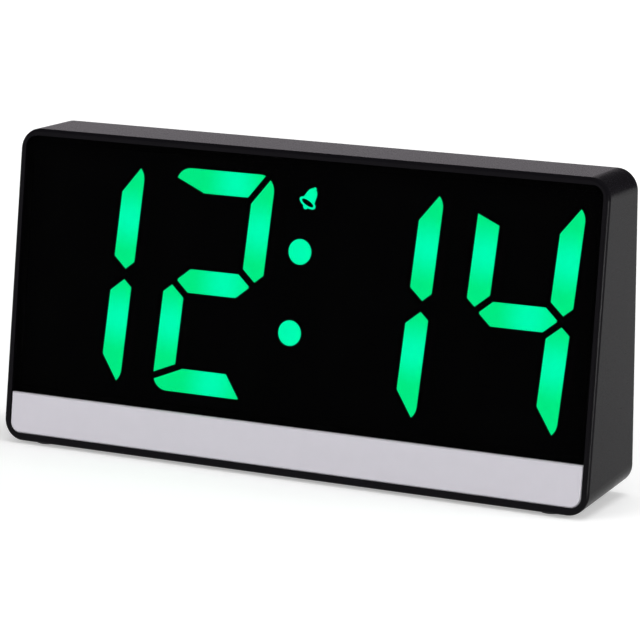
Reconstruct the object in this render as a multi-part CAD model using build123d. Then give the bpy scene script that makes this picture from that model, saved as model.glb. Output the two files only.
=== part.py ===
from build123d import *
import math
import os

# Sizes are in millimetres and angles in degrees. While the pieces are made, the origin is the lower front
# edge of the casing, +Y runs to the rear and +Z up. The whole clock is moved to its own origin at the end.

# Casing: the front leans back, and the walls draw in towards the rear
CASE_WIDTH = 165.0
FACE_HEIGHT = 81.05
FACE_TILT = 8.2
BASE_DEPTH = 28.7
WALL_DRAFT = 0.5
BASE_RISE = 3.4
CORNER_RADIUS = 5.4
WALL = 2.0
FRONT_EDGE_ROUND = 0.9
REAR_EDGE_ROUND = 0.5

# Front recess with the lens and the silver strip on one ledge
SIDE_RIM = 1.75
TOP_RIM = 1.7
BOTTOM_RIM = 2.0
RECESS_CORNER = 3.0
PANEL_FIT = 0.12
LENS_RECESS = 0.35
LENS_THICKNESS = 1.2
TAPE_THICKNESS = 0.15
LEDGE_WIDTH = 1.5
LEDGE_THICKNESS = 1.5
STRIP_HEIGHT = 10.8
STRIP_RECESS = 0.1
STRIP_EDGE = 0.35

# Digits, in the plane of the front
DISPLAY_OFFSET = -0.75
DIGIT_MARGIN = 3.4
DIGIT_SIDE_MARGIN = 4.4
DIGIT_SPACE = 9.5
COLON_SPACE = 18.7
STROKE = 6.0
DIGIT_CORNER = 4.0
DIGIT_SLANT = 3.9
SEGMENT_GAP = 1.8
RIGHT_MITRE = 53.5
LEFT_MITRE = 22.5
MIDDLE_MITRE = 40.0
MIDDLE_TIP = 2.1
DOT_RADIUS = 3.2
DOT_RISE = 10.2
BELL_DROP = 5.9
BELL_SHIFT = 0.4
BELL_LEAN = 27.0
BELL_WIDTH = 5.0
BELL_HEIGHT = 4.0
BELL_MOUTH = 2.3
BELL_LINE = 0.5
BELL_KNOB = 0.45
CLAPPER_RADIUS = 0.7
SHOWN_TIME = "1214"
LIT_SEGMENTS = {"1": "bc", "2": "abdeg", "4": "bcfg"}

# Display stack behind the lens
REFLECTOR_GAP = 0.3
BOARD_SPACE = 2.2
REFLECTOR_FIT = 0.2
REFLECTOR_FLANGE = 1.0
FLANGE_DEPTH = 1.5
INSERT_THICKNESS = 1.2
WELL_STEP = 0.6
LED_SIZE = 2.8
LED_HEIGHT = 0.9
LED_SPREAD = 6.0
PCB_THICKNESS = 1.6
DISPLAY_BOARD_INSET = 2.0
DISPLAY_BOARD_DROP = 3.9
DISPLAY_SCREW_INSET = 10.0
DISPLAY_BOSS_RADIUS = 3.0
HOOK_WIDTH = 8.0
HOOK_DEPTH = 1.5
HOOK_LAP = 1.5
HOOK_FROM_SIDE = 32.5
SEAT_GAP = 0.1

# Rear cover and its screws
COVER_INSET = 0.8
COVER_THICKNESS = 2.4
COVER_FIT = 0.15
COVER_EDGE = 0.4
BOSS_RADIUS = 4.2
BOSS_EMBED = 0.5
BOSS_LENGTH = 5.5
BOSS_FROM_EDGE = 14.0
BOSS_CLEARANCE = 0.8
SCREW_RADIUS = 1.1
SCREW_HEAD_RADIUS = 2.1
SCREW_HEAD_HEIGHT = 1.1
SCREW_LENGTH = 4.4
SCREW_FIT = 0.05
SCREW_HOLE_FIT = 0.2
COUNTERBORE_FIT = 0.3
COUNTERBORE_DEPTH = 1.2
CROSS_LENGTH = 2.4
CROSS_WIDTH = 0.5
CROSS_DEPTH = 0.6
PILOT_SPARE = 0.4
SOUND_SLOTS = 5
SOUND_SLOT_LENGTH = 9.0
SOUND_SLOT_WIDTH = 1.2
SOUND_SLOT_PITCH = 2.2
VENT_SLOTS = 12
VENT_SLOT_LENGTH = 7.0
VENT_SLOT_WIDTH = 1.2
VENT_SLOT_PITCH = 4.0
VENT_FROM_TOP = 11.0

# Main board, with the heights of its parts above its lower edge and their distances from its ends
MAIN_BOARD_FROM_SIDE = 18.5
MAIN_BOARD_HEIGHT = 29.5
MAIN_BOARD_LOW = 6.5
POST_RADIUS = 2.6
POST_INSET = 3.4
POST_TO_BUTTON = 0.6
BATTERY_FROM_END = 18.0
BATTERY_TO_BUTTON = 2.4
BUTTON_ROW = 19.0
LOWER_ROW = 6.5
SWITCH_FROM_END = 14.0
BUZZER_FROM_END = 32.0
INLET_FROM_END = 56.0
CAPACITOR_TO_INLET = 7.5
CAPACITOR_ROWS = (4.0, 11.0)
CONTROLLER_SHIFT = -30.0
CRYSTAL_SHIFT = 24.0

# Push buttons and their switches
BUTTON_NAMES = ("time", "alarm", "down", "up", "dimmer")
BUTTON_WIDTH = 9.0
BUTTON_HEIGHT = 5.4
BUTTON_PROUD = 0.6
BUTTON_FIT = 0.25
BUTTON_EDGE = 0.4
BUTTON_FLANGE = 1.0
FLANGE_THICKNESS = 0.9
STOP_GAP = 0.05
BUTTON_TRAVEL = 0.5
TACT_SIZE = 6.0
TACT_HEIGHT = 3.5
PLUNGER_RADIUS = 1.6
PLUNGER_RISE = 1.0
PLUNGER_SUNK = 1.2
PLUNGER_FIT = 0.15

# Slide switch
KNOB_TRAVEL = 2.5
KNOB_WIDTH = 3.6
KNOB_HEIGHT = 2.8
KNOB_THICKNESS = 1.4
KNOB_PROUD = 0.4
KNOB_STEM = 2.0
KNOB_FIT = 0.3
KNOB_SUNK = 1.0
SLIDE_BODY_LENGTH = 9.0
SLIDE_BODY_WIDTH = 4.4

# Coin cell, its holder and the bayonet cap
CELL_RADIUS = 10.0
CELL_THICKNESS = 3.2
CELL_FIT = 0.15
HOLDER_WALL = 1.2
HOLDER_SEAT = 1.5
HOLDER_GAP = 7.0
CELL_TO_CAP = 0.2
CAP_PASSAGE = 0.9
CAP_FIT = 0.25
CAP_HEAD_LAP = 1.7
CAP_HEAD_THICKNESS = 1.0
CAP_SUNK = 0.1
LUG_REACH = 1.4
LUG_WIDTH = 6.0
LUG_THICKNESS = 0.8
LUG_GAP = 0.2
LUG_COUNT = 3
CAP_TURN = 45.0
COIN_SLOT_LENGTH = 15.0
COIN_SLOT_WIDTH = 2.0
COIN_SLOT_DEPTH = 0.6
CONTACT_THICKNESS = 0.3
CONTACT_WIDTH = 4.0

# Power inlet
INLET_WIDTH = 9.0
INLET_HEIGHT = 3.2
INLET_SHELL = 0.3
INLET_BASE = 1.5
INLET_SUNK = 0.9
INLET_FIT = 0.2
TONGUE_WIDTH = 6.7
TONGUE_HEIGHT = 0.7
TONGUE_SHORT = 1.0
PLUG_RECESS_WIDTH = 13.0
PLUG_RECESS_HEIGHT = 7.4
PLUG_RECESS_CORNER = 2.0
PLUG_RECESS_DEPTH = 1.0

# Smaller electronic parts
BUZZER_RADIUS = 4.5
BUZZER_HEIGHT = 4.6
BUZZER_HOLE = 1.0
CONTROLLER_SIZE = (18.0, 7.5, 2.2)
CONTROLLER_PINS = 14
PIN_PITCH = 1.2
PIN_SIZE = (0.4, 1.2, 0.3)
CRYSTAL_SIZE = (11.0, 4.6, 3.5)
CAPACITOR_RADIUS = 2.5
CAPACITOR_HEIGHT = 4.5
DRIVER_SIZE = (10.0, 4.0, 1.5)
DRIVER_FROM_SIDE = 45.5
DRIVER_FROM_TOP = 22.0
CONNECTOR_SIZE = (14.0, 5.0, 2.6)
DISPLAY_CONNECTOR_V = 25.0
BOARD_CONNECTOR_ROW = 9.0
RIBBON_WIDTH = 12.0
RIBBON_THICKNESS = 0.5
RIBBON_DROP = 4.0
RIBBON_BEND = 1.0

# Feet
FOOT_RADIUS = 3.2
FOOT_CLEARANCE = 0.5
FOOT_POCKET = 0.5
FOOT_FIT = 0.1
FOOT_FROM_SIDE = 11.0
FOOT_FROM_FRONT = 5.2
FOOT_FROM_REAR = 6.0

# Worked out from the sizes above
TILT = math.radians(FACE_TILT)
DRAFT = math.radians(WALL_DRAFT)
RISE = math.radians(BASE_RISE)
LEAN = math.tan(math.radians(DIGIT_SLANT))
FACE = Plane(origin=(0, 0, 0), x_dir=(1, 0, 0), z_dir=(0, -math.cos(TILT), math.sin(TILT)))
BEYOND = CORNER_RADIUS + WALL
TOP_Y = FACE_HEIGHT * math.sin(TILT)
TOP_Z = FACE_HEIGHT * math.cos(TILT)
LENS_BACK = LENS_RECESS + LENS_THICKNESS
LEDGE_FRONT = LENS_BACK + TAPE_THICKNESS
LEDGE_BACK = LEDGE_FRONT + LEDGE_THICKNESS
RECESS_HALF = CASE_WIDTH / 2 - SIDE_RIM
RECESS_TOP = FACE_HEIGHT - TOP_RIM
STRIP_TOP = BOTTOM_RIM + STRIP_HEIGHT
WINDOW_HALF = RECESS_HALF - LEDGE_WIDTH
WINDOW_LOW = STRIP_TOP + LEDGE_WIDTH
WINDOW_TOP = RECESS_TOP - LEDGE_WIDTH
DISPLAY_MIDDLE = (WINDOW_LOW + WINDOW_TOP) / 2
DIGIT_HEIGHT = WINDOW_TOP - WINDOW_LOW - 2 * DIGIT_MARGIN
DIGIT_WIDTH = (2 * (WINDOW_HALF - DIGIT_SIDE_MARGIN - DIGIT_SPACE) - COLON_SPACE) / 4
BELL_RISE = DIGIT_HEIGHT / 2 - BELL_DROP
COVER_OUTER = BASE_DEPTH - COVER_INSET
COVER_INNER = COVER_OUTER - COVER_THICKNESS
HEAD_SEAT = COVER_OUTER - COUNTERBORE_DEPTH
TACT_TOP = COVER_INNER - STOP_GAP - FLANGE_THICKNESS - PLUNGER_RISE
MAIN_REAR = TACT_TOP - TACT_HEIGHT
MAIN_FRONT = MAIN_REAR - PCB_THICKNESS
MAIN_BOARD_HALF = CASE_WIDTH / 2 - MAIN_BOARD_FROM_SIDE
MAIN_BOARD_TOP = MAIN_BOARD_LOW + MAIN_BOARD_HEIGHT
SEGMENT_FRONT = LENS_BACK + REFLECTOR_GAP
DISPLAY_BOARD_BACK = (MAIN_FRONT - BOARD_SPACE) * math.cos(TILT) - MAIN_BOARD_TOP * math.sin(TILT)
DISPLAY_BOARD_FRONT = DISPLAY_BOARD_BACK - PCB_THICKNESS
DISPLAY_BOARD_HALF = WINDOW_HALF - DISPLAY_BOARD_INSET
DISPLAY_BOARD_LOW = BOTTOM_RIM + DISPLAY_BOARD_DROP
DISPLAY_BOARD_TOP = WINDOW_TOP + SEAT_GAP
DISPLAY_SCREW_V = (DISPLAY_BOARD_LOW + WINDOW_LOW - REFLECTOR_FLANGE) / 2
CAP_RADIUS = CELL_RADIUS + CAP_PASSAGE
CAP_HEAD_RADIUS = CAP_RADIUS + CAP_HEAD_LAP
CAP_BOTTOM = COVER_INNER - LUG_GAP - LUG_THICKNESS
CELL_REAR = CAP_BOTTOM - CELL_TO_CAP
CELL_FRONT = CELL_REAR - CELL_THICKNESS
BATTERY_X = BATTERY_FROM_END - MAIN_BOARD_HALF
BATTERY_Z = MAIN_BOARD_LOW + MAIN_BOARD_HEIGHT / 2
FLANGE_HALF = BUTTON_WIDTH / 2 + BUTTON_FLANGE
BUTTON_FIRST = BATTERY_X + CAP_HEAD_RADIUS + BATTERY_TO_BUTTON + FLANGE_HALF
BUTTON_LAST = MAIN_BOARD_HALF - POST_INSET - POST_RADIUS - POST_TO_BUTTON - FLANGE_HALF
BUTTON_CORNER = BUTTON_HEIGHT / 2 - BUTTON_FIT
SWITCH_X = MAIN_BOARD_HALF - SWITCH_FROM_END
BUZZER_X = MAIN_BOARD_HALF - BUZZER_FROM_END
INLET_X = MAIN_BOARD_HALF - INLET_FROM_END


def from_front(sketch, near, far):
    """Solid of a sketch on the front, between two depths behind the front plane."""
    return extrude(FACE.offset(-far) * sketch, amount=far - near)


def along_y(sketch, near, far):
    """Solid of an upright x-z sketch, between two values of y."""
    return extrude(Plane.XZ.offset(-far) * sketch, amount=far - near)


def behind_front(shape, depth):
    """The part of a shape that lies deeper than a depth behind the front plane."""
    return split(shape, bisect_by=FACE.offset(-depth), keep=Keep.BOTTOM)


def base_plane(inset):
    """Plane of the casing's underside, facing down, moved in by an inset."""
    return Plane(origin=(0, 0, 0), x_dir=(1, 0, 0), z_dir=(0, math.sin(RISE), -math.cos(RISE))).offset(-inset)


def inner_half(y, inset):
    """Half the width between the side walls at a depth, inset from the outside."""
    return CASE_WIDTH / 2 - y * math.tan(DRAFT) - inset / math.cos(DRAFT)


def drafted_block(inset, front_y, rear_y):
    """Block between the four drafted walls, inset from the outside, with rounded long edges."""
    sections = []
    for y in (front_y, rear_y):
        low = y * math.tan(RISE) + inset / math.cos(RISE)
        high = TOP_Z - (y - TOP_Y) * math.tan(DRAFT) - inset / math.cos(DRAFT)
        outline = Pos(0, (low + high) / 2) * Rectangle(2 * inner_half(y, inset), high - low)
        sections.append(Plane.XZ.offset(-y) * outline)
    block = loft(sections, ruled=True)
    long_edges = [edge for edge in block.edges() if abs((edge % 0.5).Y) > 0.5]
    return fillet(long_edges, CORNER_RADIUS - inset)


def block_sketch(half, low, top, corner):
    """Rounded rectangle on the front, from its half width and its lower and upper edges."""
    return Pos(0, (low + top) / 2) * RectangleRounded(2 * half, top - low, corner)


def plain_sketch(half, low, top):
    """Rectangle on the front, from its half width and its lower and upper edges."""
    return Pos(0, (low + top) / 2) * Rectangle(2 * half, top - low)


def window_sketch(fit):
    """Opening in the ledge that the display shows through, made smaller by a fit."""
    return plain_sketch(WINDOW_HALF - fit, WINDOW_LOW + fit, WINDOW_TOP - fit)


def cover_screw_places():
    """Places of the rear cover's screws, next to the side walls, as (x, z)."""
    x = inner_half(COVER_INNER, WALL) - BOSS_RADIUS + BOSS_EMBED
    return [(side * x, z) for side in (-1, 1) for z in (BOSS_FROM_EDGE, TOP_Z - BOSS_FROM_EDGE)]


def display_screw_places():
    """Places of the display board's screws, below the window, as (u, v)."""
    half = DISPLAY_BOARD_HALF - DISPLAY_SCREW_INSET
    return [(u, DISPLAY_SCREW_V) for u in (-half, 0, half)]


def post_places():
    """Places of the posts that carry the main board at its corners, as (x, z)."""
    half = MAIN_BOARD_HALF - POST_INSET
    heights = (MAIN_BOARD_LOW + POST_INSET, MAIN_BOARD_TOP - POST_INSET)
    return [(side * half, z) for side in (-1, 1) for z in heights]


def on_main_board(x, row):
    """Location on the upright x-z sketch plane, at a height above the main board's lower edge."""
    return Pos(x, MAIN_BOARD_LOW + row)


def button_places():
    """Location of each button on the upright x-z sketch plane, by name."""
    pitch = (BUTTON_LAST - BUTTON_FIRST) / (len(BUTTON_NAMES) - 1)
    return {name: on_main_board(BUTTON_FIRST + i * pitch, BUTTON_ROW) for i, name in enumerate(BUTTON_NAMES)}


def foot_places():
    """Places of the four feet, as (x, y), by name."""
    rows = {"front": FOOT_FROM_FRONT, "rear": BASE_DEPTH - FOOT_FROM_REAR}
    x = CASE_WIDTH / 2 - FOOT_FROM_SIDE
    sides = {"left": -x, "right": x}
    return {f"foot_{row}_{side}": (sides[side], rows[row]) for row in rows for side in sides}


def foot_column(place, radius):
    """Upright column from the table through the casing's underside."""
    height = FOOT_CLEARANCE + BASE_DEPTH * math.tan(RISE) + WALL
    return Pos(place[0], place[1], -FOOT_CLEARANCE) * extrude(Circle(radius), amount=height)


def front_case():
    """Casing in one piece: rim, ledge, drafted walls, screw bosses and the hooks over the display board."""
    shell = behind_front(drafted_block(0, -BEYOND, BASE_DEPTH), 0)
    shell = fillet(shell.faces().filter_by(FACE).edges(), FRONT_EDGE_ROUND)
    shell = fillet(shell.faces().filter_by(Plane.XZ).edges(), REAR_EDGE_ROUND)
    shell -= from_front(block_sketch(RECESS_HALF, BOTTOM_RIM, RECESS_TOP, RECESS_CORNER), -WALL, LEDGE_FRONT)
    shell -= from_front(window_sketch(0), 0, LEDGE_BACK + WALL)
    shell -= behind_front(drafted_block(WALL, -BEYOND, BASE_DEPTH + BEYOND), LEDGE_BACK)
    for x, z in cover_screw_places():
        boss = along_y(Pos(x, z) * Circle(BOSS_RADIUS), COVER_INNER - BOSS_LENGTH, COVER_INNER)
        shell += behind_front(boss, DISPLAY_BOARD_BACK + BOSS_CLEARANCE)
    for u, v in display_screw_places():
        shell += from_front(Pos(u, v) * Circle(DISPLAY_BOSS_RADIUS), LEDGE_BACK, DISPLAY_BOARD_FRONT)
    hook = plain_sketch(HOOK_WIDTH / 2, DISPLAY_BOARD_TOP - HOOK_LAP, FACE_HEIGHT + WALL)
    hook_front = DISPLAY_BOARD_BACK + SEAT_GAP
    for side in (-1, 1):
        lip = from_front(Pos(side * (CASE_WIDTH / 2 - HOOK_FROM_SIDE)) * hook, hook_front, hook_front + HOOK_DEPTH)
        shell += lip & drafted_block(WALL / 2, -BEYOND, BASE_DEPTH)
    pilot = SCREW_RADIUS + SCREW_FIT
    for x, z in cover_screw_places():
        depth = SCREW_LENGTH + PILOT_SPARE
        shell -= along_y(Pos(x, z) * Circle(pilot), HEAD_SEAT - depth, COVER_INNER)
    for u, v in display_screw_places():
        depth = SCREW_LENGTH - PCB_THICKNESS + PILOT_SPARE
        shell -= from_front(Pos(u, v) * Circle(pilot), DISPLAY_BOARD_FRONT - depth, DISPLAY_BOARD_FRONT)
    for place in foot_places().values():
        column = foot_column(place, FOOT_RADIUS + FOOT_FIT)
        shell -= split(column, bisect_by=base_plane(FOOT_POCKET), keep=Keep.TOP)
    return shell


def foot(place):
    """Rubber foot, flat on the table and seated in its pocket under the casing."""
    return split(foot_column(place, FOOT_RADIUS), bisect_by=base_plane(FOOT_POCKET), keep=Keep.TOP)


def front_lens():
    """Smoked lens, with rounded upper corners and a straight lower edge along the strip."""
    outline = block_sketch(RECESS_HALF - PANEL_FIT, BOTTOM_RIM, RECESS_TOP - PANEL_FIT, RECESS_CORNER - PANEL_FIT)
    outline -= plain_sketch(CASE_WIDTH, -FACE_HEIGHT, STRIP_TOP + PANEL_FIT)
    return from_front(outline, LENS_RECESS, LENS_BACK)


def lens_tape():
    """Adhesive frame between the lens and the ledge."""
    outline = block_sketch(RECESS_HALF - PANEL_FIT, BOTTOM_RIM, RECESS_TOP - PANEL_FIT, RECESS_CORNER - PANEL_FIT)
    outline -= plain_sketch(CASE_WIDTH, -FACE_HEIGHT, STRIP_TOP + PANEL_FIT)
    return from_front(outline - window_sketch(0), LENS_BACK, LEDGE_FRONT)


def silver_trim():
    """Silver strip below the lens, with a bevelled front edge and rounded lower corners."""
    low = BOTTOM_RIM + PANEL_FIT
    outline = block_sketch(RECESS_HALF - PANEL_FIT, low, RECESS_TOP, RECESS_CORNER - PANEL_FIT)
    outline -= plain_sketch(CASE_WIDTH, STRIP_TOP - PANEL_FIT, 2 * FACE_HEIGHT)
    strip = from_front(outline, STRIP_RECESS, LEDGE_FRONT)
    front = strip.faces().filter_by(FACE).sort_by(Axis((0, 0, 0), FACE.z_dir))[-1]
    return chamfer(front.edges(), STRIP_EDGE)


def leaning(*points):
    """Face through points that are given upright, leaned over by the digits' slant."""
    return Polygon(*[(x + LEAN * y, y) for x, y in points], align=None)


def gap_strip(x, y, angle, before, after):
    """Leaning strip as wide as a segment gap, from before to after a point, along an angle."""
    along = Vector(math.cos(math.radians(angle)), math.sin(math.radians(angle)))
    across = Vector(-along.Y, along.X) * (SEGMENT_GAP / 2)
    start = Vector(x, y) - along * before
    end = Vector(x, y) + along * after
    corners = (start - across, end - across, end + across, start + across)
    return leaning(*[(corner.X, corner.Y) for corner in corners])


def digit_sketch():
    """Seven-segment digit around its own middle: a leaning figure of eight, cut at the gaps."""
    x, y = DIGIT_WIDTH / 2, DIGIT_HEIGHT / 2
    inner_x, inner_y, bar = x - STROKE, y - STROKE, STROKE / 2
    outline = leaning((-x, -y), (x, -y), (x, y), (-x, y))
    sketch = fillet(outline.vertices(), DIGIT_CORNER)
    tip = x - MIDDLE_TIP
    wedge_start = tip - SEGMENT_GAP
    wedge_rise = (x + STROKE - wedge_start) * math.tan(math.radians(MIDDLE_MITRE))
    middle_reach = (tip - inner_x) / math.cos(math.radians(MIDDLE_MITRE)) + SEGMENT_GAP
    for up in (-1, 1):
        window = ((-inner_x, up * bar), (inner_x, up * bar), (inner_x, up * inner_y), (-inner_x, up * inner_y))
        sketch -= leaning(*window)
        sketch -= gap_strip(inner_x, up * inner_y, up * RIGHT_MITRE, SEGMENT_GAP, 2 * STROKE)
        sketch -= gap_strip(-inner_x, up * inner_y, 180 - up * LEFT_MITRE, SEGMENT_GAP, 2 * STROKE)
        sketch -= gap_strip(tip, 0, 180 - up * MIDDLE_MITRE, SEGMENT_GAP / 2, middle_reach)
        sketch -= gap_strip(-tip, 0, up * MIDDLE_MITRE, SEGMENT_GAP / 2, middle_reach)
    for side in (-1, 1):
        far = side * (x + STROKE)
        sketch -= leaning((side * wedge_start, 0), (far, wedge_rise), (far, -wedge_rise))
    return sketch


def segment_middles():
    """Middle of each segment of an upright digit, by letter."""
    x, y = (DIGIT_WIDTH - STROKE) / 2, (DIGIT_HEIGHT - STROKE) / 2
    return {"a": (0, y), "b": (x, y / 2), "c": (x, -y / 2), "d": (0, -y), "e": (-x, -y / 2), "f": (-x, y / 2), "g": (0, 0)}


def digit_segments():
    """Face of each segment around the digit's middle, by letter."""
    faces = digit_sketch().faces()
    middles = {letter: (x + LEAN * y, y) for letter, (x, y) in segment_middles().items()}
    return {letter: faces.sort_by_distance((x, y, 0))[0] for letter, (x, y) in middles.items()}


def digit_middles():
    """Middle of each digit on the front, from left to right."""
    near = (COLON_SPACE + DIGIT_WIDTH) / 2
    far = near + DIGIT_WIDTH + DIGIT_SPACE
    return [Pos(DISPLAY_OFFSET + u, DISPLAY_MIDDLE) for u in (-far, -near, near, far)]


def dot_faces():
    """The two colon dots, which lean with the digits."""
    places = [Pos(DISPLAY_OFFSET + up * LEAN * DOT_RISE, DISPLAY_MIDDLE + up * DOT_RISE) for up in (-1, 1)]
    return [place * Circle(DOT_RADIUS) for place in places]


def bell_face():
    """Plain alarm bell: knob, dome, open mouth and clapper, tipped to one side."""
    half, shoulder, top = BELL_WIDTH / 2, 0.3 * BELL_WIDTH, BELL_HEIGHT
    side = ((0.85 * half, 0), (1.1 * shoulder, 0.3 * top), (0.95 * shoulder, 0.65 * top), (0, top))
    right = Spline(*side, tangents=((-1, 1), (-1, 0)))
    left = mirror(right, about=Plane.YZ)
    dome = make_face([right, left, Line((0.85 * half, 0), (-0.85 * half, 0))])
    mouth = Ellipse(half, BELL_MOUTH / 2)
    opening = Ellipse(half - 1.4 * BELL_LINE, BELL_MOUTH / 2 - BELL_LINE)
    clapper = Pos(0, -0.9 * BELL_MOUTH / 2) * Circle(CLAPPER_RADIUS)
    bell = dome + Pos(0, top) * Circle(BELL_KNOB) + mouth + clapper - opening
    place = Pos(DISPLAY_OFFSET + BELL_SHIFT + LEAN * BELL_RISE, DISPLAY_MIDDLE + BELL_RISE)
    return place * Rot(0, 0, -BELL_LEAN) * bell


def all_lights():
    """Every lit or dark shape of the display, as placed faces."""
    segments = digit_segments().values()
    placed = [middle * face for middle in digit_middles() for face in segments]
    return placed + dot_faces() + [bell_face()]


def reflector_frame():
    """Reflector that fills the window, with a stepped well behind each shape of the display."""
    low, top = WINDOW_LOW - REFLECTOR_FLANGE, WINDOW_TOP + REFLECTOR_FLANGE
    flange = block_sketch(WINDOW_HALF - REFLECTOR_FIT, low, top, CORNER_RADIUS - WALL)
    frame = from_front(window_sketch(REFLECTOR_FIT), SEGMENT_FRONT, DISPLAY_BOARD_FRONT)
    frame += from_front(flange, LEDGE_BACK, LEDGE_BACK + FLANGE_DEPTH)
    pocket = SEGMENT_FRONT + INSERT_THICKNESS
    for face in all_lights()[:-1]:
        frame -= from_front(face, SEGMENT_FRONT, pocket)
        frame -= from_front(offset(face, -WELL_STEP), pocket, DISPLAY_BOARD_FRONT)
    frame -= from_front(bell_face(), SEGMENT_FRONT, pocket)
    well = Pos(DISPLAY_OFFSET + BELL_SHIFT + LEAN * BELL_RISE, DISPLAY_MIDDLE + BELL_RISE) * Circle(BELL_WIDTH / 3)
    return frame - from_front(well, pocket, DISPLAY_BOARD_FRONT)


def insert(face):
    """Diffusing insert that fills the front of a well."""
    return from_front(face, SEGMENT_FRONT, SEGMENT_FRONT + INSERT_THICKNESS)


def digit_inserts(position, lit):
    """The lit, or the dark, inserts of one digit of the shown time, as separate solids."""
    letters = LIT_SEGMENTS[SHOWN_TIME[position]]
    middle = digit_middles()[position]
    segments = digit_segments().items()
    return Compound(children=[insert(middle * face) for letter, face in segments if (letter in letters) == lit])


def segment_leds():
    """Light-emitting chips on the display board, two behind each segment and one behind each dot and the bell."""
    places = []
    for middle in digit_middles():
        for letter, (x, y) in segment_middles().items():
            flat = letter in "adg"
            for side in (-0.5, 0.5):
                u = x + (side * LED_SPREAD if flat else 0)
                v = y + (0 if flat else side * LED_SPREAD)
                places.append(middle * Pos(u + LEAN * v, v))
    rises = (-DOT_RISE, DOT_RISE, BELL_RISE)
    places += [Pos(DISPLAY_OFFSET + LEAN * rise, DISPLAY_MIDDLE + rise) for rise in rises]
    chips = [place * Rectangle(LED_SIZE, LED_SIZE) for place in places[:-1]]
    chips.append(places[-1] * Pos(BELL_SHIFT) * Rectangle(LED_SIZE / 2, LED_SIZE / 2))
    return Compound(children=[from_front(chip, DISPLAY_BOARD_FRONT - LED_HEIGHT, DISPLAY_BOARD_FRONT) for chip in chips])


def display_board():
    """Board behind the reflector, with its screw holes along the lower edge."""
    outline = plain_sketch(DISPLAY_BOARD_HALF, DISPLAY_BOARD_LOW, DISPLAY_BOARD_TOP)
    for u, v in display_screw_places():
        outline -= Pos(u, v) * Circle(SCREW_RADIUS + SCREW_HOLE_FIT)
    return from_front(outline, DISPLAY_BOARD_FRONT, DISPLAY_BOARD_BACK)


def screw():
    """Pan-head screw with a cross recess, seated on its head, with the head towards +Z."""
    head = extrude(Circle(SCREW_HEAD_RADIUS), amount=SCREW_HEAD_HEIGHT)
    head = fillet(head.edges().group_by(Axis.Z)[-1], SCREW_HEAD_HEIGHT / 2)
    cross = Rectangle(CROSS_LENGTH, CROSS_WIDTH) + Rectangle(CROSS_WIDTH, CROSS_LENGTH)
    head -= Pos(0, 0, SCREW_HEAD_HEIGHT - CROSS_DEPTH) * extrude(cross, amount=SCREW_HEAD_HEIGHT)
    return head + extrude(Circle(SCREW_RADIUS), amount=-SCREW_LENGTH)


def cover_screws():
    """Screws of the rear cover, with their heads to the rear."""
    places = [Plane(origin=(x, HEAD_SEAT, z), x_dir=(1, 0, 0), z_dir=(0, 1, 0)) for x, z in cover_screw_places()]
    return Compound(children=[place * screw() for place in places])


def board_screws():
    """Screws of the main board, with their heads to the front."""
    places = [Plane(origin=(x, MAIN_FRONT, z), x_dir=(1, 0, 0), z_dir=(0, -1, 0)) for x, z in post_places()]
    return Compound(children=[place * screw() for place in places])


def display_screws():
    """Screws of the display board, with their heads to the rear."""
    back = Plane(origin=FACE.offset(-DISPLAY_BOARD_BACK).origin, x_dir=(-1, 0, 0), z_dir=-FACE.z_dir)
    return Compound(children=[back * Pos(-u, v) * screw() for u, v in display_screw_places()])


def rear_cover():
    """Inset rear cover with its openings, the posts of the main board and the bayonet ring of the battery."""
    cover = drafted_block(WALL + COVER_FIT, COVER_INNER, COVER_OUTER)
    rear = cover.faces().filter_by(Plane.XZ).sort_by(Axis.Y)[-1]
    cover = fillet(rear.edges(), COVER_EDGE)
    for x, z in cover_screw_places():
        cover -= along_y(Pos(x, z) * Circle(SCREW_RADIUS + SCREW_HOLE_FIT), COVER_INNER, COVER_OUTER)
        cover -= along_y(Pos(x, z) * Circle(SCREW_HEAD_RADIUS + COUNTERBORE_FIT), HEAD_SEAT, COVER_OUTER)
    for place in button_places().values():
        cover -= along_y(place * button_outline(BUTTON_FIT), COVER_INNER, COVER_OUTER)
    cover -= knob_slot()
    cover -= inlet_opening()
    cover -= cap_seat()
    for i in range(SOUND_SLOTS):
        shift = (i - (SOUND_SLOTS - 1) / 2) * SOUND_SLOT_PITCH
        slot = Pos(shift) * Rot(0, 0, 90) * SlotOverall(SOUND_SLOT_LENGTH, SOUND_SLOT_WIDTH)
        cover -= along_y(on_main_board(BUZZER_X, LOWER_ROW) * slot, COVER_INNER, COVER_OUTER)
    for i in range(VENT_SLOTS):
        shift = (i - (VENT_SLOTS - 1) / 2) * VENT_SLOT_PITCH
        slot = Rot(0, 0, 90) * SlotOverall(VENT_SLOT_LENGTH, VENT_SLOT_WIDTH)
        cover -= along_y(Pos(shift, TOP_Z - VENT_FROM_TOP) * slot, COVER_INNER, COVER_OUTER)
    for x, z in post_places():
        cover += along_y(Pos(x, z) * Circle(POST_RADIUS), MAIN_REAR, COVER_INNER)
        depth = SCREW_LENGTH + PILOT_SPARE
        cover -= along_y(Pos(x, z) * Circle(SCREW_RADIUS + SCREW_FIT), MAIN_REAR, MAIN_FRONT + depth)
    return cover


def knob_slot():
    """Slot in the rear cover that the slide switch's knob runs in, sunk around its head."""
    middle = on_main_board(SWITCH_X, LOWER_ROW)
    stem = Rectangle(KNOB_STEM + KNOB_TRAVEL + 2 * KNOB_FIT, KNOB_STEM + 2 * KNOB_FIT)
    head = Rectangle(KNOB_WIDTH + KNOB_TRAVEL + 2 * KNOB_FIT, KNOB_HEIGHT + 2 * KNOB_FIT)
    floor = COVER_OUTER + KNOB_PROUD - KNOB_THICKNESS - KNOB_FIT
    return along_y(middle * stem, COVER_INNER, COVER_OUTER) + along_y(middle * head, floor, COVER_OUTER)


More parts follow.
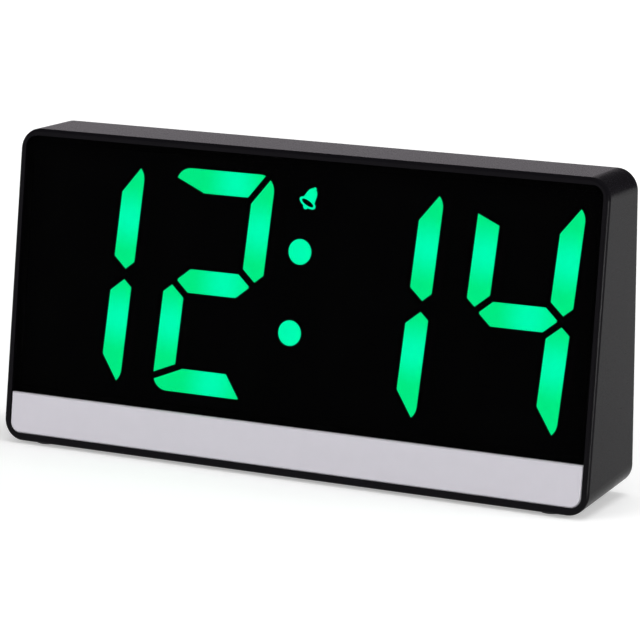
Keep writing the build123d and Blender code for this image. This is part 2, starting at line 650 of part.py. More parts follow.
def inlet_opening():
    """Opening of the power inlet, with a shallow recess for the plug's grip."""
    middle = on_main_board(INLET_X, LOWER_ROW)
    mouth = SlotOverall(INLET_WIDTH + 2 * INLET_FIT, INLET_HEIGHT + 2 * INLET_FIT)
    recess = RectangleRounded(PLUG_RECESS_WIDTH, PLUG_RECESS_HEIGHT, PLUG_RECESS_CORNER)
    floor = COVER_OUTER - PLUG_RECESS_DEPTH
    return along_y(middle * mouth, COVER_INNER, COVER_OUTER) + along_y(middle * recess, floor, COVER_OUTER)


def lug_sketch(radius, width, turn):
    """Bayonet lugs around the battery's axis, as bars that end on a circle."""
    bars = Sketch()
    for i in range(LUG_COUNT):
        bars += Rot(0, 0, turn + i * 360 / LUG_COUNT) * Pos(radius / 2) * Rectangle(radius, width)
    return Pos(BATTERY_X, BATTERY_Z) * (bars & Circle(radius))


def battery_disc(radius):
    """Circle around the battery's axis."""
    return Pos(BATTERY_X, BATTERY_Z) * Circle(radius)


def cap_seat():
    """Stepped hole of the battery cap, with a way in for each lug."""
    floor = COVER_OUTER - CAP_SUNK - CAP_HEAD_THICKNESS - CAP_FIT
    seat = along_y(battery_disc(CAP_RADIUS + CAP_FIT), COVER_INNER, COVER_OUTER)
    seat += along_y(battery_disc(CAP_HEAD_RADIUS + CAP_FIT), floor, COVER_OUTER)
    entry = lug_sketch(CAP_RADIUS + LUG_REACH + CAP_FIT, LUG_WIDTH + 2 * CAP_FIT, -CAP_TURN)
    return seat + along_y(entry, COVER_INNER, COVER_OUTER - CAP_SUNK - CAP_HEAD_THICKNESS)


def battery_cap():
    """Round battery cap with bayonet lugs and a coin slot."""
    top = COVER_OUTER - CAP_SUNK
    cap = along_y(battery_disc(CAP_RADIUS), CAP_BOTTOM, top)
    cap += along_y(battery_disc(CAP_HEAD_RADIUS), top - CAP_HEAD_THICKNESS, top)
    cap += along_y(lug_sketch(CAP_RADIUS + LUG_REACH, LUG_WIDTH, 0), CAP_BOTTOM, CAP_BOTTOM + LUG_THICKNESS)
    slot = Pos(BATTERY_X, BATTERY_Z) * SlotOverall(COIN_SLOT_LENGTH, COIN_SLOT_WIDTH)
    return cap - along_y(slot, top - COIN_SLOT_DEPTH, top)


def battery_holder():
    """Ring on the main board that the coin cell drops into, open at one side for its clip."""
    wall = battery_disc(CELL_RADIUS + CELL_FIT + HOLDER_WALL)
    ring = along_y(wall - battery_disc(CELL_RADIUS + CELL_FIT), MAIN_REAR, CELL_REAR)
    ring += along_y(wall - battery_disc(CELL_RADIUS - HOLDER_SEAT), MAIN_REAR, CELL_FRONT)
    gap = Pos(BATTERY_X + CELL_RADIUS, BATTERY_Z) * Rectangle(CELL_RADIUS, HOLDER_GAP)
    return ring - along_y(gap, MAIN_REAR, CELL_REAR)


def coin_cell():
    """Backup coin cell: a can with a smaller cap on its front face."""
    step = CONTACT_THICKNESS
    cell = along_y(battery_disc(CELL_RADIUS), CELL_FRONT + step, CELL_REAR)
    return cell + along_y(battery_disc(CELL_RADIUS - HOLDER_SEAT - CELL_FIT), CELL_FRONT, CELL_FRONT + step)


def battery_spring():
    """Leaf under the coin cell: a foot on the board, a slope and a flat that presses on the cell."""
    t, w = CONTACT_THICKNESS, CONTACT_WIDTH
    rise = CELL_FRONT - MAIN_REAR
    leaf = ((-w, 0), (0, 0), (w / 2, rise - t), (1.5 * w, rise - t), (1.5 * w, rise), (w / 3, rise), (-t, t), (-w, t))
    profile = Pos(BATTERY_X, MAIN_REAR) * Polygon(*leaf, align=None)
    return Pos(0, 0, BATTERY_Z - w / 2) * extrude(profile, amount=w)


def battery_clip():
    """Bent clip in the holder's gap that touches the rim of the coin cell."""
    t = CONTACT_THICKNESS
    inner = BATTERY_X + CELL_RADIUS + CELL_FIT
    height = CELL_REAR - MAIN_REAR - CELL_FIT
    bend = ((0, 0), (CONTACT_WIDTH, 0), (CONTACT_WIDTH, t), (t, t), (t, height), (0, height))
    profile = Pos(inner, MAIN_REAR) * Polygon(*bend, align=None)
    return Pos(0, 0, BATTERY_Z - CONTACT_WIDTH / 2) * extrude(profile, amount=CONTACT_WIDTH)


def button_outline(margin):
    """Rounded outline of a button, widened by a margin all round."""
    return RectangleRounded(BUTTON_WIDTH + 2 * margin, BUTTON_HEIGHT + 2 * margin, BUTTON_CORNER + margin)


def button(place):
    """Rear push button: a rounded cap and the flange that keeps it in."""
    seat = COVER_INNER - STOP_GAP
    cap = along_y(place * button_outline(0), seat - FLANGE_THICKNESS, COVER_OUTER + BUTTON_PROUD)
    cap = fillet(cap.edges().group_by(Axis.Y)[-1], BUTTON_EDGE)
    return cap + along_y(place * button_outline(BUTTON_FLANGE), seat - FLANGE_THICKNESS, seat)


def plunger(place):
    """Plunger of a button's switch, which reaches from inside the switch to the button."""
    return along_y(place * Circle(PLUNGER_RADIUS), TACT_TOP - PLUNGER_SUNK, TACT_TOP + PLUNGER_RISE)


def switch_bodies():
    """Bodies of the button switches on the main board, each bored for its plunger."""
    bodies = []
    for place in button_places().values():
        bored = Circle(PLUNGER_RADIUS + PLUNGER_FIT)
        body = along_y(place * Rectangle(TACT_SIZE, TACT_SIZE), MAIN_REAR, TACT_TOP)
        sunk = TACT_TOP - PLUNGER_SUNK - BUTTON_TRAVEL - PLUNGER_FIT
        bodies.append(body - along_y(place * bored, sunk, TACT_TOP))
    return Compound(children=bodies)


def slide_switch_body():
    """Body of the slide switch, with the channel that its knob runs in."""
    middle = on_main_board(SWITCH_X, LOWER_ROW)
    body = along_y(middle * Rectangle(SLIDE_BODY_LENGTH, SLIDE_BODY_WIDTH), MAIN_REAR, TACT_TOP)
    channel = Rectangle(KNOB_STEM + KNOB_TRAVEL + 2 * KNOB_FIT, KNOB_STEM + 2 * KNOB_FIT)
    return body - along_y(middle * channel, TACT_TOP - KNOB_SUNK - KNOB_FIT, TACT_TOP)


def alarm_switch_knob():
    """Knob of the slide switch: a head in the cover's slot on a stem that reaches into the switch."""
    rest = on_main_board(SWITCH_X - KNOB_TRAVEL / 2, LOWER_ROW)
    outer = COVER_OUTER + KNOB_PROUD
    knob = along_y(rest * Rectangle(KNOB_STEM, KNOB_STEM), TACT_TOP - KNOB_SUNK, outer)
    return knob + along_y(rest * Rectangle(KNOB_WIDTH, KNOB_HEIGHT), outer - KNOB_THICKNESS, outer)


def main_board():
    """Main board, upright behind the rear cover, with a hole at each post."""
    board = plain_sketch(MAIN_BOARD_HALF, MAIN_BOARD_LOW, MAIN_BOARD_TOP)
    for x, z in post_places():
        board -= Pos(x, z) * Circle(SCREW_RADIUS + SCREW_HOLE_FIT)
    return along_y(board, MAIN_FRONT, MAIN_REAR)


def controller_chip():
    """Controller in a flat package with a row of pins along each long side."""
    width, height, thickness = CONTROLLER_SIZE
    pin_width, pin_length, pin_thickness = PIN_SIZE
    middle = on_main_board(CONTROLLER_SHIFT, LOWER_ROW)
    chip = along_y(middle * Rectangle(width, height), MAIN_FRONT - thickness, MAIN_FRONT)
    for i in range(CONTROLLER_PINS):
        x = (i - (CONTROLLER_PINS - 1) / 2) * PIN_PITCH
        for side in (-1, 1):
            pin = Pos(x, side * (height + pin_length) / 2) * Rectangle(pin_width, pin_length)
            chip += along_y(middle * pin, MAIN_FRONT - pin_thickness, MAIN_FRONT)
    return chip


def clock_crystal():
    """Crystal can that sets the clock's rate."""
    width, height, thickness = CRYSTAL_SIZE
    middle = on_main_board(CRYSTAL_SHIFT, LOWER_ROW)
    return along_y(middle * SlotOverall(width, height), MAIN_FRONT - thickness, MAIN_FRONT)


def capacitors():
    """Round capacitors beside the power inlet."""
    cans = [on_main_board(INLET_X - CAPACITOR_TO_INLET, row) * Circle(CAPACITOR_RADIUS) for row in CAPACITOR_ROWS]
    return Compound(children=[along_y(can, MAIN_REAR, MAIN_REAR + CAPACITOR_HEIGHT) for can in cans])


def buzzer():
    """Alarm buzzer, with its sound hole towards the slots in the rear cover."""
    middle = on_main_board(BUZZER_X, LOWER_ROW)
    can = along_y(middle * Circle(BUZZER_RADIUS), MAIN_REAR, MAIN_REAR + BUZZER_HEIGHT)
    return can - along_y(middle * Circle(BUZZER_HOLE), MAIN_REAR + BUZZER_HEIGHT / 2, MAIN_REAR + BUZZER_HEIGHT)


def power_inlet():
    """Metal shell of the power inlet, standing on the main board."""
    middle = on_main_board(INLET_X, LOWER_ROW)
    inside = SlotOverall(INLET_WIDTH - 2 * INLET_SHELL, INLET_HEIGHT - 2 * INLET_SHELL)
    shell = along_y(middle * SlotOverall(INLET_WIDTH, INLET_HEIGHT), MAIN_REAR, COVER_OUTER - INLET_SUNK)
    return shell - along_y(middle * inside, MAIN_REAR + INLET_BASE, COVER_OUTER - INLET_SUNK)


def inlet_tongue():
    """Contact tongue in the middle of the power inlet."""
    tongue = on_main_board(INLET_X, LOWER_ROW) * Rectangle(TONGUE_WIDTH, TONGUE_HEIGHT)
    return along_y(tongue, MAIN_REAR + INLET_BASE, COVER_OUTER - INLET_SUNK - TONGUE_SHORT)


def driver_chips():
    """Segment drivers on the back of the display board."""
    width, height, thickness = DRIVER_SIZE
    x = CASE_WIDTH / 2 - DRIVER_FROM_SIDE
    chips = [Pos(side * x, DISPLAY_BOARD_TOP - DRIVER_FROM_TOP) for side in (-1, 1)]
    back = DISPLAY_BOARD_BACK
    return Compound(children=[from_front(chip * Rectangle(width, height), back, back + thickness) for chip in chips])


def display_connector():
    """Ribbon connector on the back of the display board."""
    width, height, thickness = CONNECTOR_SIZE
    outline = Pos(0, DISPLAY_CONNECTOR_V) * Rectangle(width, height)
    return from_front(outline, DISPLAY_BOARD_BACK, DISPLAY_BOARD_BACK + thickness)


def board_connector():
    """Ribbon connector on the front of the main board."""
    width, height, thickness = CONNECTOR_SIZE
    outline = on_main_board(0, BOARD_CONNECTOR_ROW) * Rectangle(width, height)
    return along_y(outline, MAIN_FRONT - thickness, MAIN_FRONT)


def ribbon_cable():
    """Flat ribbon that leaves both connectors downwards and turns between them."""
    height, thickness = CONNECTOR_SIZE[1:]
    local = FACE.from_local_coords((0, DISPLAY_CONNECTOR_V - height / 2, -DISPLAY_BOARD_BACK - thickness / 2))
    start = Vector(0, local.Y, local.Z)
    end = Vector(0, MAIN_FRONT - thickness / 2, MAIN_BOARD_LOW + BOARD_CONNECTOR_ROW - height / 2)
    low = end.Z - RIBBON_DROP
    near = Vector(0, start.Y - (start.Z - low) * math.tan(TILT), low)
    route = FilletPolyline(start, near, Vector(0, end.Y, low), end, radius=RIBBON_BEND)
    section = Plane(origin=start, x_dir=(1, 0, 0), z_dir=route % 0) * Rectangle(RIBBON_WIDTH, RIBBON_THICKNESS)
    return sweep(section, path=route)


def clock_nodes():
    """Every piece of the clock by name, around the lower front edge."""
    nodes = {
        "front_case": front_case(),
        "rear_cover": rear_cover(),
        "front_lens": front_lens(),
        "lens_tape": lens_tape(),
        "silver_trim": silver_trim(),
        "cover_screws": cover_screws(),
        "reflector_frame": reflector_frame(),
        "colon_dots": Compound(children=[insert(dot) for dot in dot_faces()]),
        "bell_icon": insert(bell_face()),
        "segment_leds": segment_leds(),
        "display_board": display_board(),
        "display_screws": display_screws(),
        "driver_chips": driver_chips(),
        "display_connector": display_connector(),
        "ribbon_cable": ribbon_cable(),
        "board_connector": board_connector(),
        "main_board": main_board(),
        "board_screws": board_screws(),
        "controller_chip": controller_chip(),
        "clock_crystal": clock_crystal(),
        "capacitors": capacitors(),
        "buzzer": buzzer(),
        "power_inlet": power_inlet(),
        "inlet_tongue": inlet_tongue(),
        "battery_holder": battery_holder(),
        "battery_spring": battery_spring(),
        "battery_clip": battery_clip(),
        "coin_cell": coin_cell(),
        "battery_cap": battery_cap(),
        "switch_bodies": switch_bodies(),
        "slide_switch_body": slide_switch_body(),
        "alarm_switch_knob": alarm_switch_knob(),
    }
    for position in range(len(SHOWN_TIME)):
        nodes[f"digit_{position + 1}_lit"] = digit_inserts(position, True)
        nodes[f"digit_{position + 1}_dark"] = digit_inserts(position, False)
    for name, place in button_places().items():
        nodes[f"{name}_button"] = button(place)
        nodes[f"{name}_plunger"] = plunger(place)
    for name, place in foot_places().items():
        nodes[name] = foot(place)
    return nodes


def main():
    """Builds the clock, moves it to its origin on the table and writes one file for each piece."""
    nodes = clock_nodes()
    reach = nodes["front_case"].bounding_box()
    origin = Pos(0, -(reach.min.Y + reach.max.Y) / 2, FOOT_CLEARANCE)
    os.makedirs("parts", exist_ok=True)
    for name, shape in nodes.items():
        export_step(origin * shape, f"parts/{name}.step")
    print("moved by", origin.position)


main()
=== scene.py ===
import bpy
import math
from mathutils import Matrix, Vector

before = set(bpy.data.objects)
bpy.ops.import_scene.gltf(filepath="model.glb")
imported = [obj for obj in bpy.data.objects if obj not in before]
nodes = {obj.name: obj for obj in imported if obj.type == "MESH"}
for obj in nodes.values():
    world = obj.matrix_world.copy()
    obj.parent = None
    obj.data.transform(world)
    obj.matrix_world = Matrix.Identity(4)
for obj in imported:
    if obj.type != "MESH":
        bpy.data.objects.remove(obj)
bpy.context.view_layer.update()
scene = bpy.context.scene
MM = 0.001
WHITE = (1.0, 1.0, 1.0, 1.0)

# The row frame lies this far from the casing's lower front edge, which the display is measured from
ROW_SHIFT = Vector((0.0, -14.424, 0.5))
FACE_TILT = math.radians(8.2)

# Surface grain: used part of a noise value, depth of the relief, coarseness of the colour, spread of the gloss
NOISE_LOW, NOISE_HIGH = 0.3, 0.7
RELIEF_DEPTH = 0.05 * MM
BROAD_GRAIN = 1.0 / 40.0
GLOSS_SPREAD = 0.1

# Smoked lens
LENS_ALPHA = 0.35
LENS_DARK, LENS_LIGHT = (0.0006, 0.0006, 0.0007), (0.001, 0.001, 0.0011)
LENS_SMOOTH, LENS_ROUGH = 0.03, 0.06
LENS_GLOSS = 0.012
LENS_HAZE_GRAIN = 60.0

# Light of the display: from bright to dim over this distance, and how softly neighbouring lights meet
GLOW_STRENGTH = 2.32
GLOW_NEAR, GLOW_FAR, GLOW_BLEND = 0.5 * MM, 9.3 * MM, 2.0 * MM
GLOW_BRIGHT = (0.0, 1.0, 0.455, 1.0)
GLOW_DIM = (0.0, 0.84, 0.225, 1.0)
UNLIT_DIFFUSER = (0.0, 0.02, 0.01, 1.0)

# Display layout on the front, in millimetres
LEAN = math.tan(math.radians(3.9))
DISPLAY_U, DISPLAY_V = -0.75, 46.08
DIGIT_US = (-60.85, -23.35, 23.35, 60.85)
SEGMENT_X, SEGMENT_Y = 11.0, 25.4
SEGMENT_MIDDLES = {
    "a": (0, SEGMENT_Y), "g": (0, 0), "d": (0, -SEGMENT_Y),
    "b": (SEGMENT_X, SEGMENT_Y / 2), "c": (SEGMENT_X, -SEGMENT_Y / 2),
    "e": (-SEGMENT_X, -SEGMENT_Y / 2), "f": (-SEGMENT_X, SEGMENT_Y / 2)}
LEVEL_SEGMENTS = "adg"
LIT = ("bc", "abdeg", "bc", "bcfg")
SEGMENT_DEPTH = 1.85
GLOW_RIGHT, GLOW_UP = 3.0, 1.5
DOT_RISE, BELL_RISE = 10.2, 22.6

# Floor: half its side, its drop below the feet, and its own light, which grows from near to far
FLOOR_HALF, FLOOR_DROP = 6.0, 0.0001
FLOOR_COLOUR = (0.85, 0.85, 0.85, 1.0)
FLOOR_GLOW, FLOOR_WHITE = 0.35, 0.84
FLOOR_NEAR, FLOOR_FAR = 0.12, 1.5

# Surroundings: plain light, and a reflected room that is dim above and on the right
WORLD_LIGHT = 0.35
ROOM_COLOUR = (0.97, 0.905, 0.97, 1.0)
WALL_TOP, CEILING_EDGE, CEILING_LIGHT = 0.11, 0.32, 0.04
WALL_END, DARK_SIDE, SIDE_LIGHT = -0.1, 0.25, 0.1

# Lamps: name, place, target, width, height, power
KEY_LIGHT = ("key_light", (0.25, 0.13, 1.4), (0.25, 0.13, 0.0), 0.8, 0.8, 7.0)
FRONT_FILL = ("front_fill", (-0.9, -1.2, 0.65), (0.0, 0.0, 0.04), 1.0, 1.0, 7.0)
SIDE_FILL = ("side_fill", (1.1, 0.2, 0.55), (0.1, 0.0, 0.0), 0.6, 0.6, 4.5)
EDGE_LIGHT = ("edge_light", (0.8, -0.45, 0.044), (0.08, 0.0, 0.044), 0.5, 0.066, 6.0)

# Camera, placed from the casing's lower front edge in millimetres
CAMERA_LENS, SENSOR_WIDTH = 191.469, 36.0
CAMERA_PLACE = (Vector((392.865, -718.331, 219.311)) + ROW_SHIFT) * MM
CAMERA_AIM = Vector((-0.458701, 0.86247, -0.213866))
CLIP_NEAR, CLIP_FAR = 0.01, 50.0


def link(tree, source, target):
    """Joins two shader sockets."""
    tree.links.new(source, target)


def new_material(name):
    """An empty node material with its output and one Principled shader."""
    material = bpy.data.materials.new(name)
    material.use_nodes = True
    tree = material.node_tree
    tree.nodes.clear()
    output = tree.nodes.new("ShaderNodeOutputMaterial")
    shader = tree.nodes.new("ShaderNodeBsdfPrincipled")
    link(tree, shader.outputs["BSDF"], output.inputs["Surface"])
    return material, tree, shader


def noise(tree, scale, detail=3.0, stretch=None):
    """Noise in object coordinates, stretched along the axes where asked."""
    place = tree.nodes.new("ShaderNodeTexCoord").outputs["Object"]
    if stretch:
        mapping = tree.nodes.new("ShaderNodeMapping")
        mapping.inputs["Scale"].default_value = stretch
        link(tree, place, mapping.inputs["Vector"])
        place = mapping.outputs["Vector"]
    texture = tree.nodes.new("ShaderNodeTexNoise")
    texture.inputs["Scale"].default_value = scale
    texture.inputs["Detail"].default_value = detail
    link(tree, place, texture.inputs["Vector"])
    return texture.outputs["Fac"]


def remap(tree, value, start, end, low, high, smooth=False):
    """A value brought from one range to another."""
    node = tree.nodes.new("ShaderNodeMapRange")
    if smooth:
        node.interpolation_type = "SMOOTHSTEP"
    node.inputs["From Min"].default_value = start
    node.inputs["From Max"].default_value = end
    node.inputs["To Min"].default_value = low
    node.inputs["To Max"].default_value = high
    link(tree, value, node.inputs["Value"])
    return node.outputs["Result"]


def blend_colours(tree, value, first, second, start=0.0, end=1.0):
    """A colour between two, along a value."""
    ramp = tree.nodes.new("ShaderNodeValToRGB")
    ramp.color_ramp.elements[0].position = start
    ramp.color_ramp.elements[1].position = end
    ramp.color_ramp.elements[0].color = first
    ramp.color_ramp.elements[1].color = second
    link(tree, value, ramp.inputs["Fac"])
    return ramp.outputs["Color"]


def tint(tree, value, dark, light):
    """A colour between two, along a noise value."""
    return blend_colours(tree, value, (*dark, 1.0), (*light, 1.0), NOISE_LOW, NOISE_HIGH)


def spread(tree, value, low, high):
    """A noise value brought to a range."""
    return remap(tree, value, NOISE_LOW, NOISE_HIGH, low, high)


def combine(tree, operation, first, second):
    """Two values joined by a math node."""
    node = tree.nodes.new("ShaderNodeMath")
    node.operation = operation
    link(tree, first, node.inputs[0])
    link(tree, second, node.inputs[1])
    return node


def raise_surface(tree, shader, value, strength):
    """Fine relief from a noise value."""
    bump = tree.nodes.new("ShaderNodeBump")
    bump.inputs["Strength"].default_value = strength
    bump.inputs["Distance"].default_value = RELIEF_DEPTH
    link(tree, value, bump.inputs["Height"])
    link(tree, bump.outputs["Normal"], shader.inputs["Normal"])


def surface(name, colour, rough, grain, relief, vary=0.12, specular=0.5, metallic=0.0, stretch=None):
    """Moulded, painted or metal surface: a fine grain varies its colour and gloss and stands in relief."""
    material, tree, shader = new_material(name)
    fine = noise(tree, grain, stretch=stretch)
    broad = noise(tree, grain * BROAD_GRAIN, detail=2.0)
    dark = [c * (1.0 - vary) for c in colour]
    light = [min(1.0, c * (1.0 + vary)) for c in colour]
    link(tree, tint(tree, broad, dark, light), shader.inputs["Base Color"])
    smooth, coarse = rough * (1.0 - GLOSS_SPREAD), min(1.0, rough * (1.0 + GLOSS_SPREAD))
    link(tree, spread(tree, fine, smooth, coarse), shader.inputs["Roughness"])
    raise_surface(tree, shader, fine, relief)
    shader.inputs["Specular IOR Level"].default_value = specular
    shader.inputs["Metallic"].default_value = metallic
    return material


def smoked_lens():
    """Dark see-through acrylic with faint polishing haze."""
    material, tree, shader = new_material("smoked_lens")
    haze = noise(tree, LENS_HAZE_GRAIN)
    link(tree, tint(tree, haze, LENS_DARK, LENS_LIGHT), shader.inputs["Base Color"])
    link(tree, spread(tree, haze, LENS_SMOOTH, LENS_ROUGH), shader.inputs["Roughness"])
    shader.inputs["Alpha"].default_value = LENS_ALPHA
    shader.inputs["Specular IOR Level"].default_value = LENS_GLOSS
    return material


def on_face(u, v):
    """Point of a diffuser's front in the row frame, in metres, from a place on the front in millimetres."""
    y = v * math.sin(FACE_TILT) + SEGMENT_DEPTH * math.cos(FACE_TILT)
    z = v * math.cos(FACE_TILT) - SEGMENT_DEPTH * math.sin(FACE_TILT)
    return (Vector((u, y, z)) + ROW_SHIFT) * MM


def glowing(name, places):
    """Lit diffuser: brightest and bluest at the given places, greener and dimmer away from them."""
    material, tree, shader = new_material(name)
    where = tree.nodes.new("ShaderNodeTexCoord").outputs["Object"]
    nearest = None
    for place in places:
        away = tree.nodes.new("ShaderNodeVectorMath")
        away.operation = "DISTANCE"
        away.inputs[1].default_value = place
        link(tree, where, away.inputs[0])
        if nearest is None:
            nearest = away.outputs["Value"]
            continue
        least = combine(tree, "SMOOTH_MIN", nearest, away.outputs["Value"])
        least.inputs[2].default_value = GLOW_BLEND
        nearest = least.outputs["Value"]
    fade = remap(tree, nearest, GLOW_NEAR, GLOW_FAR, 0.0, 1.0, smooth=True)
    link(tree, blend_colours(tree, fade, GLOW_BRIGHT, GLOW_DIM), shader.inputs["Emission Color"])
    shader.inputs["Emission Strength"].default_value = GLOW_STRENGTH
    shader.inputs["Base Color"].default_value = UNLIT_DIFFUSER
    shader.inputs["Specular IOR Level"].default_value = 0.0
    return material


def bright_spots(digit):
    """Brightest places of the lit segments of one digit, a little right of, or above, their middles."""
    places = []
    for letter in LIT[digit]:
        x, y = SEGMENT_MIDDLES[letter]
        u, v = (x + GLOW_RIGHT, y) if letter in LEVEL_SEGMENTS else (x, y + GLOW_UP)
        places.append(on_face(DISPLAY_U + DIGIT_US[digit] + u + LEAN * v, DISPLAY_V + v))
    return places


def middle_spots(*rises):
    """Places on the leaning middle line of the display, at these heights above its centre."""
    return [on_face(DISPLAY_U + LEAN * rise, DISPLAY_V + rise) for rise in rises]


def dress(material, *names):
    """Gives CAD nodes one material."""
    for name in names:
        mesh = nodes[name].data
        mesh.materials.clear()
        mesh.materials.append(material)


BUTTONS = ("time", "alarm", "down", "up", "dimmer")
FEET = ("foot_front_left", "foot_front_right", "foot_rear_left", "foot_rear_right")

dress(surface("case_plastic", (0.0068, 0.0062, 0.0078), rough=0.26, grain=2600.0, relief=0.2, vary=0.1,
              specular=0.04), "front_case")
dress(surface("cover_plastic", (0.012, 0.012, 0.0128), rough=0.55, grain=1800.0, relief=0.5, specular=0.2),
      "rear_cover", "battery_cap")
dress(smoked_lens(), "front_lens")
dress(surface("adhesive", (0.0015, 0.0015, 0.0015), rough=0.9, grain=3000.0, relief=0.3, vary=0.1,
              specular=0.02), "lens_tape")
dress(surface("silver_plastic", (0.8, 0.772, 0.84), rough=0.42, grain=9000.0, relief=0.05, vary=0.01,
              metallic=0.1), "silver_trim")
dress(surface("foot_rubber", (0.01, 0.01, 0.01), rough=0.85, grain=1500.0, relief=0.6, specular=0.2), *FEET)
dress(surface("screw_steel", (0.12, 0.12, 0.125), rough=0.35, grain=1200.0, relief=0.1, vary=0.1, metallic=1.0),
      "cover_screws", "display_screws", "board_screws")
dress(surface("reflector_plastic", (0.0015, 0.0015, 0.0015), rough=0.8, grain=900.0, relief=0.3, vary=0.1,
              specular=0.02), "reflector_frame")
dress(surface("dark_diffuser", (0.0025, 0.0026, 0.0025), rough=0.7, grain=900.0, relief=0.2, vary=0.1,
              specular=0.02), *[f"digit_{i}_dark" for i in (1, 2, 3, 4)])
dress(surface("led_resin", (0.75, 0.7, 0.45), rough=0.3, grain=900.0, relief=0.1), "segment_leds")
dress(surface("board_resin", (0.02, 0.14, 0.06), rough=0.35, grain=400.0, relief=0.2, vary=0.2),
      "display_board", "main_board")
dress(surface("chip_resin", (0.025, 0.025, 0.025), rough=0.6, grain=1500.0, relief=0.3),
      "driver_chips", "controller_chip", "buzzer")
dress(surface("can_metal", (0.65, 0.65, 0.66), rough=0.3, grain=500.0, relief=0.1, vary=0.05, metallic=1.0),
      "clock_crystal", "capacitors")
dress(surface("nickel", (0.7, 0.68, 0.62), rough=0.2, grain=500.0, relief=0.1, vary=0.05, metallic=1.0),
      "battery_spring", "battery_clip")
dress(surface("inlet_metal", (0.6, 0.6, 0.61), rough=0.28, grain=800.0, relief=0.1, vary=0.05, metallic=1.0,
              stretch=(1.0, 8.0, 1.0)), "power_inlet")
dress(surface("cell_steel", (0.66, 0.66, 0.67), rough=0.3, grain=600.0, relief=0.1, vary=0.05, metallic=1.0),
      "coin_cell")
dress(surface("black_nylon", (0.02, 0.02, 0.021), rough=0.55, grain=1500.0, relief=0.3),
      "inlet_tongue", "battery_holder", "switch_bodies", "slide_switch_body")
dress(surface("white_nylon", (0.7, 0.68, 0.62), rough=0.5, grain=1200.0, relief=0.2),
      "display_connector", "board_connector", *[f"{name}_plunger" for name in BUTTONS])
dress(surface("ribbon_vinyl", (0.45, 0.45, 0.47), rough=0.45, grain=900.0, relief=0.3, vary=0.1,
              stretch=(12.0, 1.0, 1.0)), "ribbon_cable")
dress(surface("button_plastic", (0.03, 0.03, 0.032), rough=0.45, grain=2200.0, relief=0.3),
      "alarm_switch_knob", *[f"{name}_button" for name in BUTTONS])
for digit in range(len(LIT)):
    dress(glowing(f"digit_glow_{digit + 1}", bright_spots(digit)), f"digit_{digit + 1}_lit")
dress(glowing("dot_glow", middle_spots(-DOT_RISE, DOT_RISE)), "colon_dots")
dress(glowing("bell_glow", middle_spots(BELL_RISE)), "bell_icon")


def seen_by(tree, *rays):
    """Value that is 1 for the named kinds of ray, and 0 for the rest."""
    path = tree.nodes.new("ShaderNodeLightPath")
    value = path.outputs[rays[0]]
    for ray in rays[1:]:
        value = combine(tree, "MAXIMUM", value, path.outputs[ray]).outputs["Value"]
    return value


def make_floor():
    """Pale floor that fades to white away from the object and keeps its shadow."""
    mesh = bpy.data.meshes.new("floor")
    corners = [(x * FLOOR_HALF, y * FLOOR_HALF, 0) for x, y in ((-1, -1), (1, -1), (1, 1), (-1, 1))]
    mesh.from_pydata(corners, [], [(0, 1, 2, 3)])
    floor = bpy.data.objects.new("floor", mesh)
    floor.location.z = -FLOOR_DROP
    scene.collection.objects.link(floor)
    material = bpy.data.materials.new("floor_paper")
    material.use_nodes = True
    tree = material.node_tree
    tree.nodes.clear()
    output = tree.nodes.new("ShaderNodeOutputMaterial")
    diffuse = tree.nodes.new("ShaderNodeBsdfDiffuse")
    diffuse.inputs["Color"].default_value = FLOOR_COLOUR
    away = tree.nodes.new("ShaderNodeVectorMath")
    away.operation = "LENGTH"
    link(tree, tree.nodes.new("ShaderNodeTexCoord").outputs["Object"], away.inputs[0])
    fade = remap(tree, away.outputs["Value"], FLOOR_NEAR, FLOOR_FAR, FLOOR_GLOW, FLOOR_WHITE)
    seen = seen_by(tree, "Is Camera Ray", "Is Glossy Ray", "Is Transmission Ray")
    glow = tree.nodes.new("ShaderNodeEmission")
    link(tree, combine(tree, "MULTIPLY", fade, seen).outputs["Value"], glow.inputs["Strength"])
    both = tree.nodes.new("ShaderNodeAddShader")
    link(tree, diffuse.outputs["BSDF"], both.inputs[0])
    link(tree, glow.outputs["Emission"], both.inputs[1])
    link(tree, both.outputs["Shader"], output.inputs["Surface"])
    mesh.materials.append(material)


def background(tree, colour, strength=1.0):
    """World light of one colour."""
    node = tree.nodes.new("ShaderNodeBackground")
    node.inputs["Color"].default_value = colour
    node.inputs["Strength"].default_value = strength
    return node


def choose(tree, rays, otherwise, chosen):
    """One shader for the named kinds of ray and another for the rest."""
    mix = tree.nodes.new("ShaderNodeMixShader")
    link(tree, seen_by(tree, *rays), mix.inputs["Fac"])
    link(tree, otherwise, mix.inputs[1])
    link(tree, chosen, mix.inputs[2])
    return mix.outputs["Shader"]


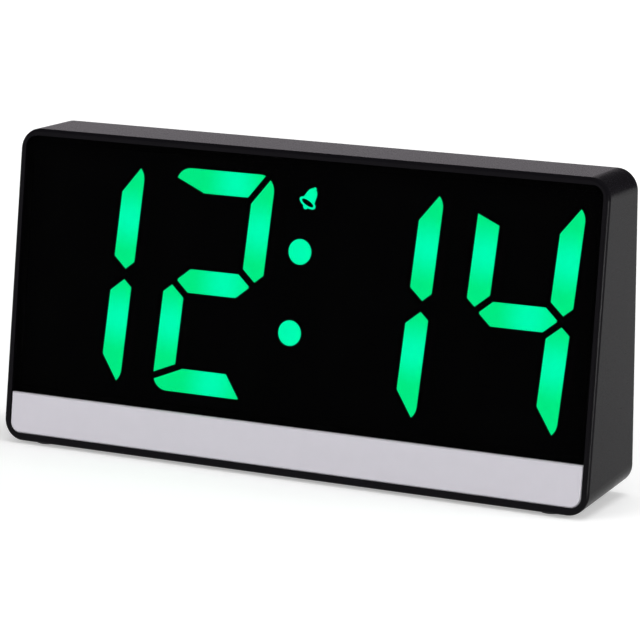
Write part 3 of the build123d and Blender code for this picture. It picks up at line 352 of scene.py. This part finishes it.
def make_world():
    """White surroundings with plain light; reflections show a dim ceiling and a dim right-hand side."""
    world = bpy.data.worlds.new("studio")
    scene.world = world
    world.use_nodes = True
    tree = world.node_tree
    tree.nodes.clear()
    output = tree.nodes.new("ShaderNodeOutputWorld")
    light = background(tree, WHITE, WORLD_LIGHT).outputs["Background"]
    white = background(tree, WHITE).outputs["Background"]
    room = background(tree, ROOM_COLOUR)
    parts = tree.nodes.new("ShaderNodeSeparateXYZ")
    link(tree, tree.nodes.new("ShaderNodeTexCoord").outputs["Generated"], parts.inputs["Vector"])
    ceiling = remap(tree, parts.outputs["Z"], WALL_TOP, CEILING_EDGE, 1.0, CEILING_LIGHT, smooth=True)
    wall = remap(tree, parts.outputs["X"], WALL_END, DARK_SIDE, 1.0, SIDE_LIGHT, smooth=True)
    link(tree, combine(tree, "MULTIPLY", ceiling, wall).outputs["Value"], room.inputs["Strength"])
    lit = choose(tree, ("Is Glossy Ray", "Is Transmission Ray"), light, room.outputs["Background"])
    link(tree, choose(tree, ("Is Camera Ray",), lit, white), output.inputs["Surface"])


def softbox(name, place, target, wide, high, power):
    """Soft light that faces a point."""
    data = bpy.data.lights.new(name, "AREA")
    data.shape = "RECTANGLE"
    data.size = wide
    data.size_y = high
    data.energy = power
    lamp = bpy.data.objects.new(name, data)
    lamp.location = place
    lamp.rotation_euler = (Vector(target) - Vector(place)).to_track_quat("-Z", "Y").to_euler()
    lamp.visible_camera = False
    scene.collection.objects.link(lamp)
    return lamp


def make_camera():
    """Camera that sees the object as the photograph does."""
    data = bpy.data.cameras.new("camera")
    data.lens = CAMERA_LENS
    data.sensor_width = SENSOR_WIDTH
    data.clip_start = CLIP_NEAR
    data.clip_end = CLIP_FAR
    camera = bpy.data.objects.new("camera", data)
    camera.location = CAMERA_PLACE
    camera.rotation_euler = CAMERA_AIM.to_track_quat("-Z", "Y").to_euler()
    scene.collection.objects.link(camera)
    scene.camera = camera


make_floor()
make_world()
# The broad lamps light the matt surfaces and stay out of reflections; the low one only draws the casing's edge
for lamp_values in (KEY_LIGHT, FRONT_FILL, SIDE_FILL):
    softbox(*lamp_values).visible_glossy = False
softbox(*EDGE_LIGHT).visible_diffuse = False
make_camera()
scene.view_settings.view_transform = "Standard"
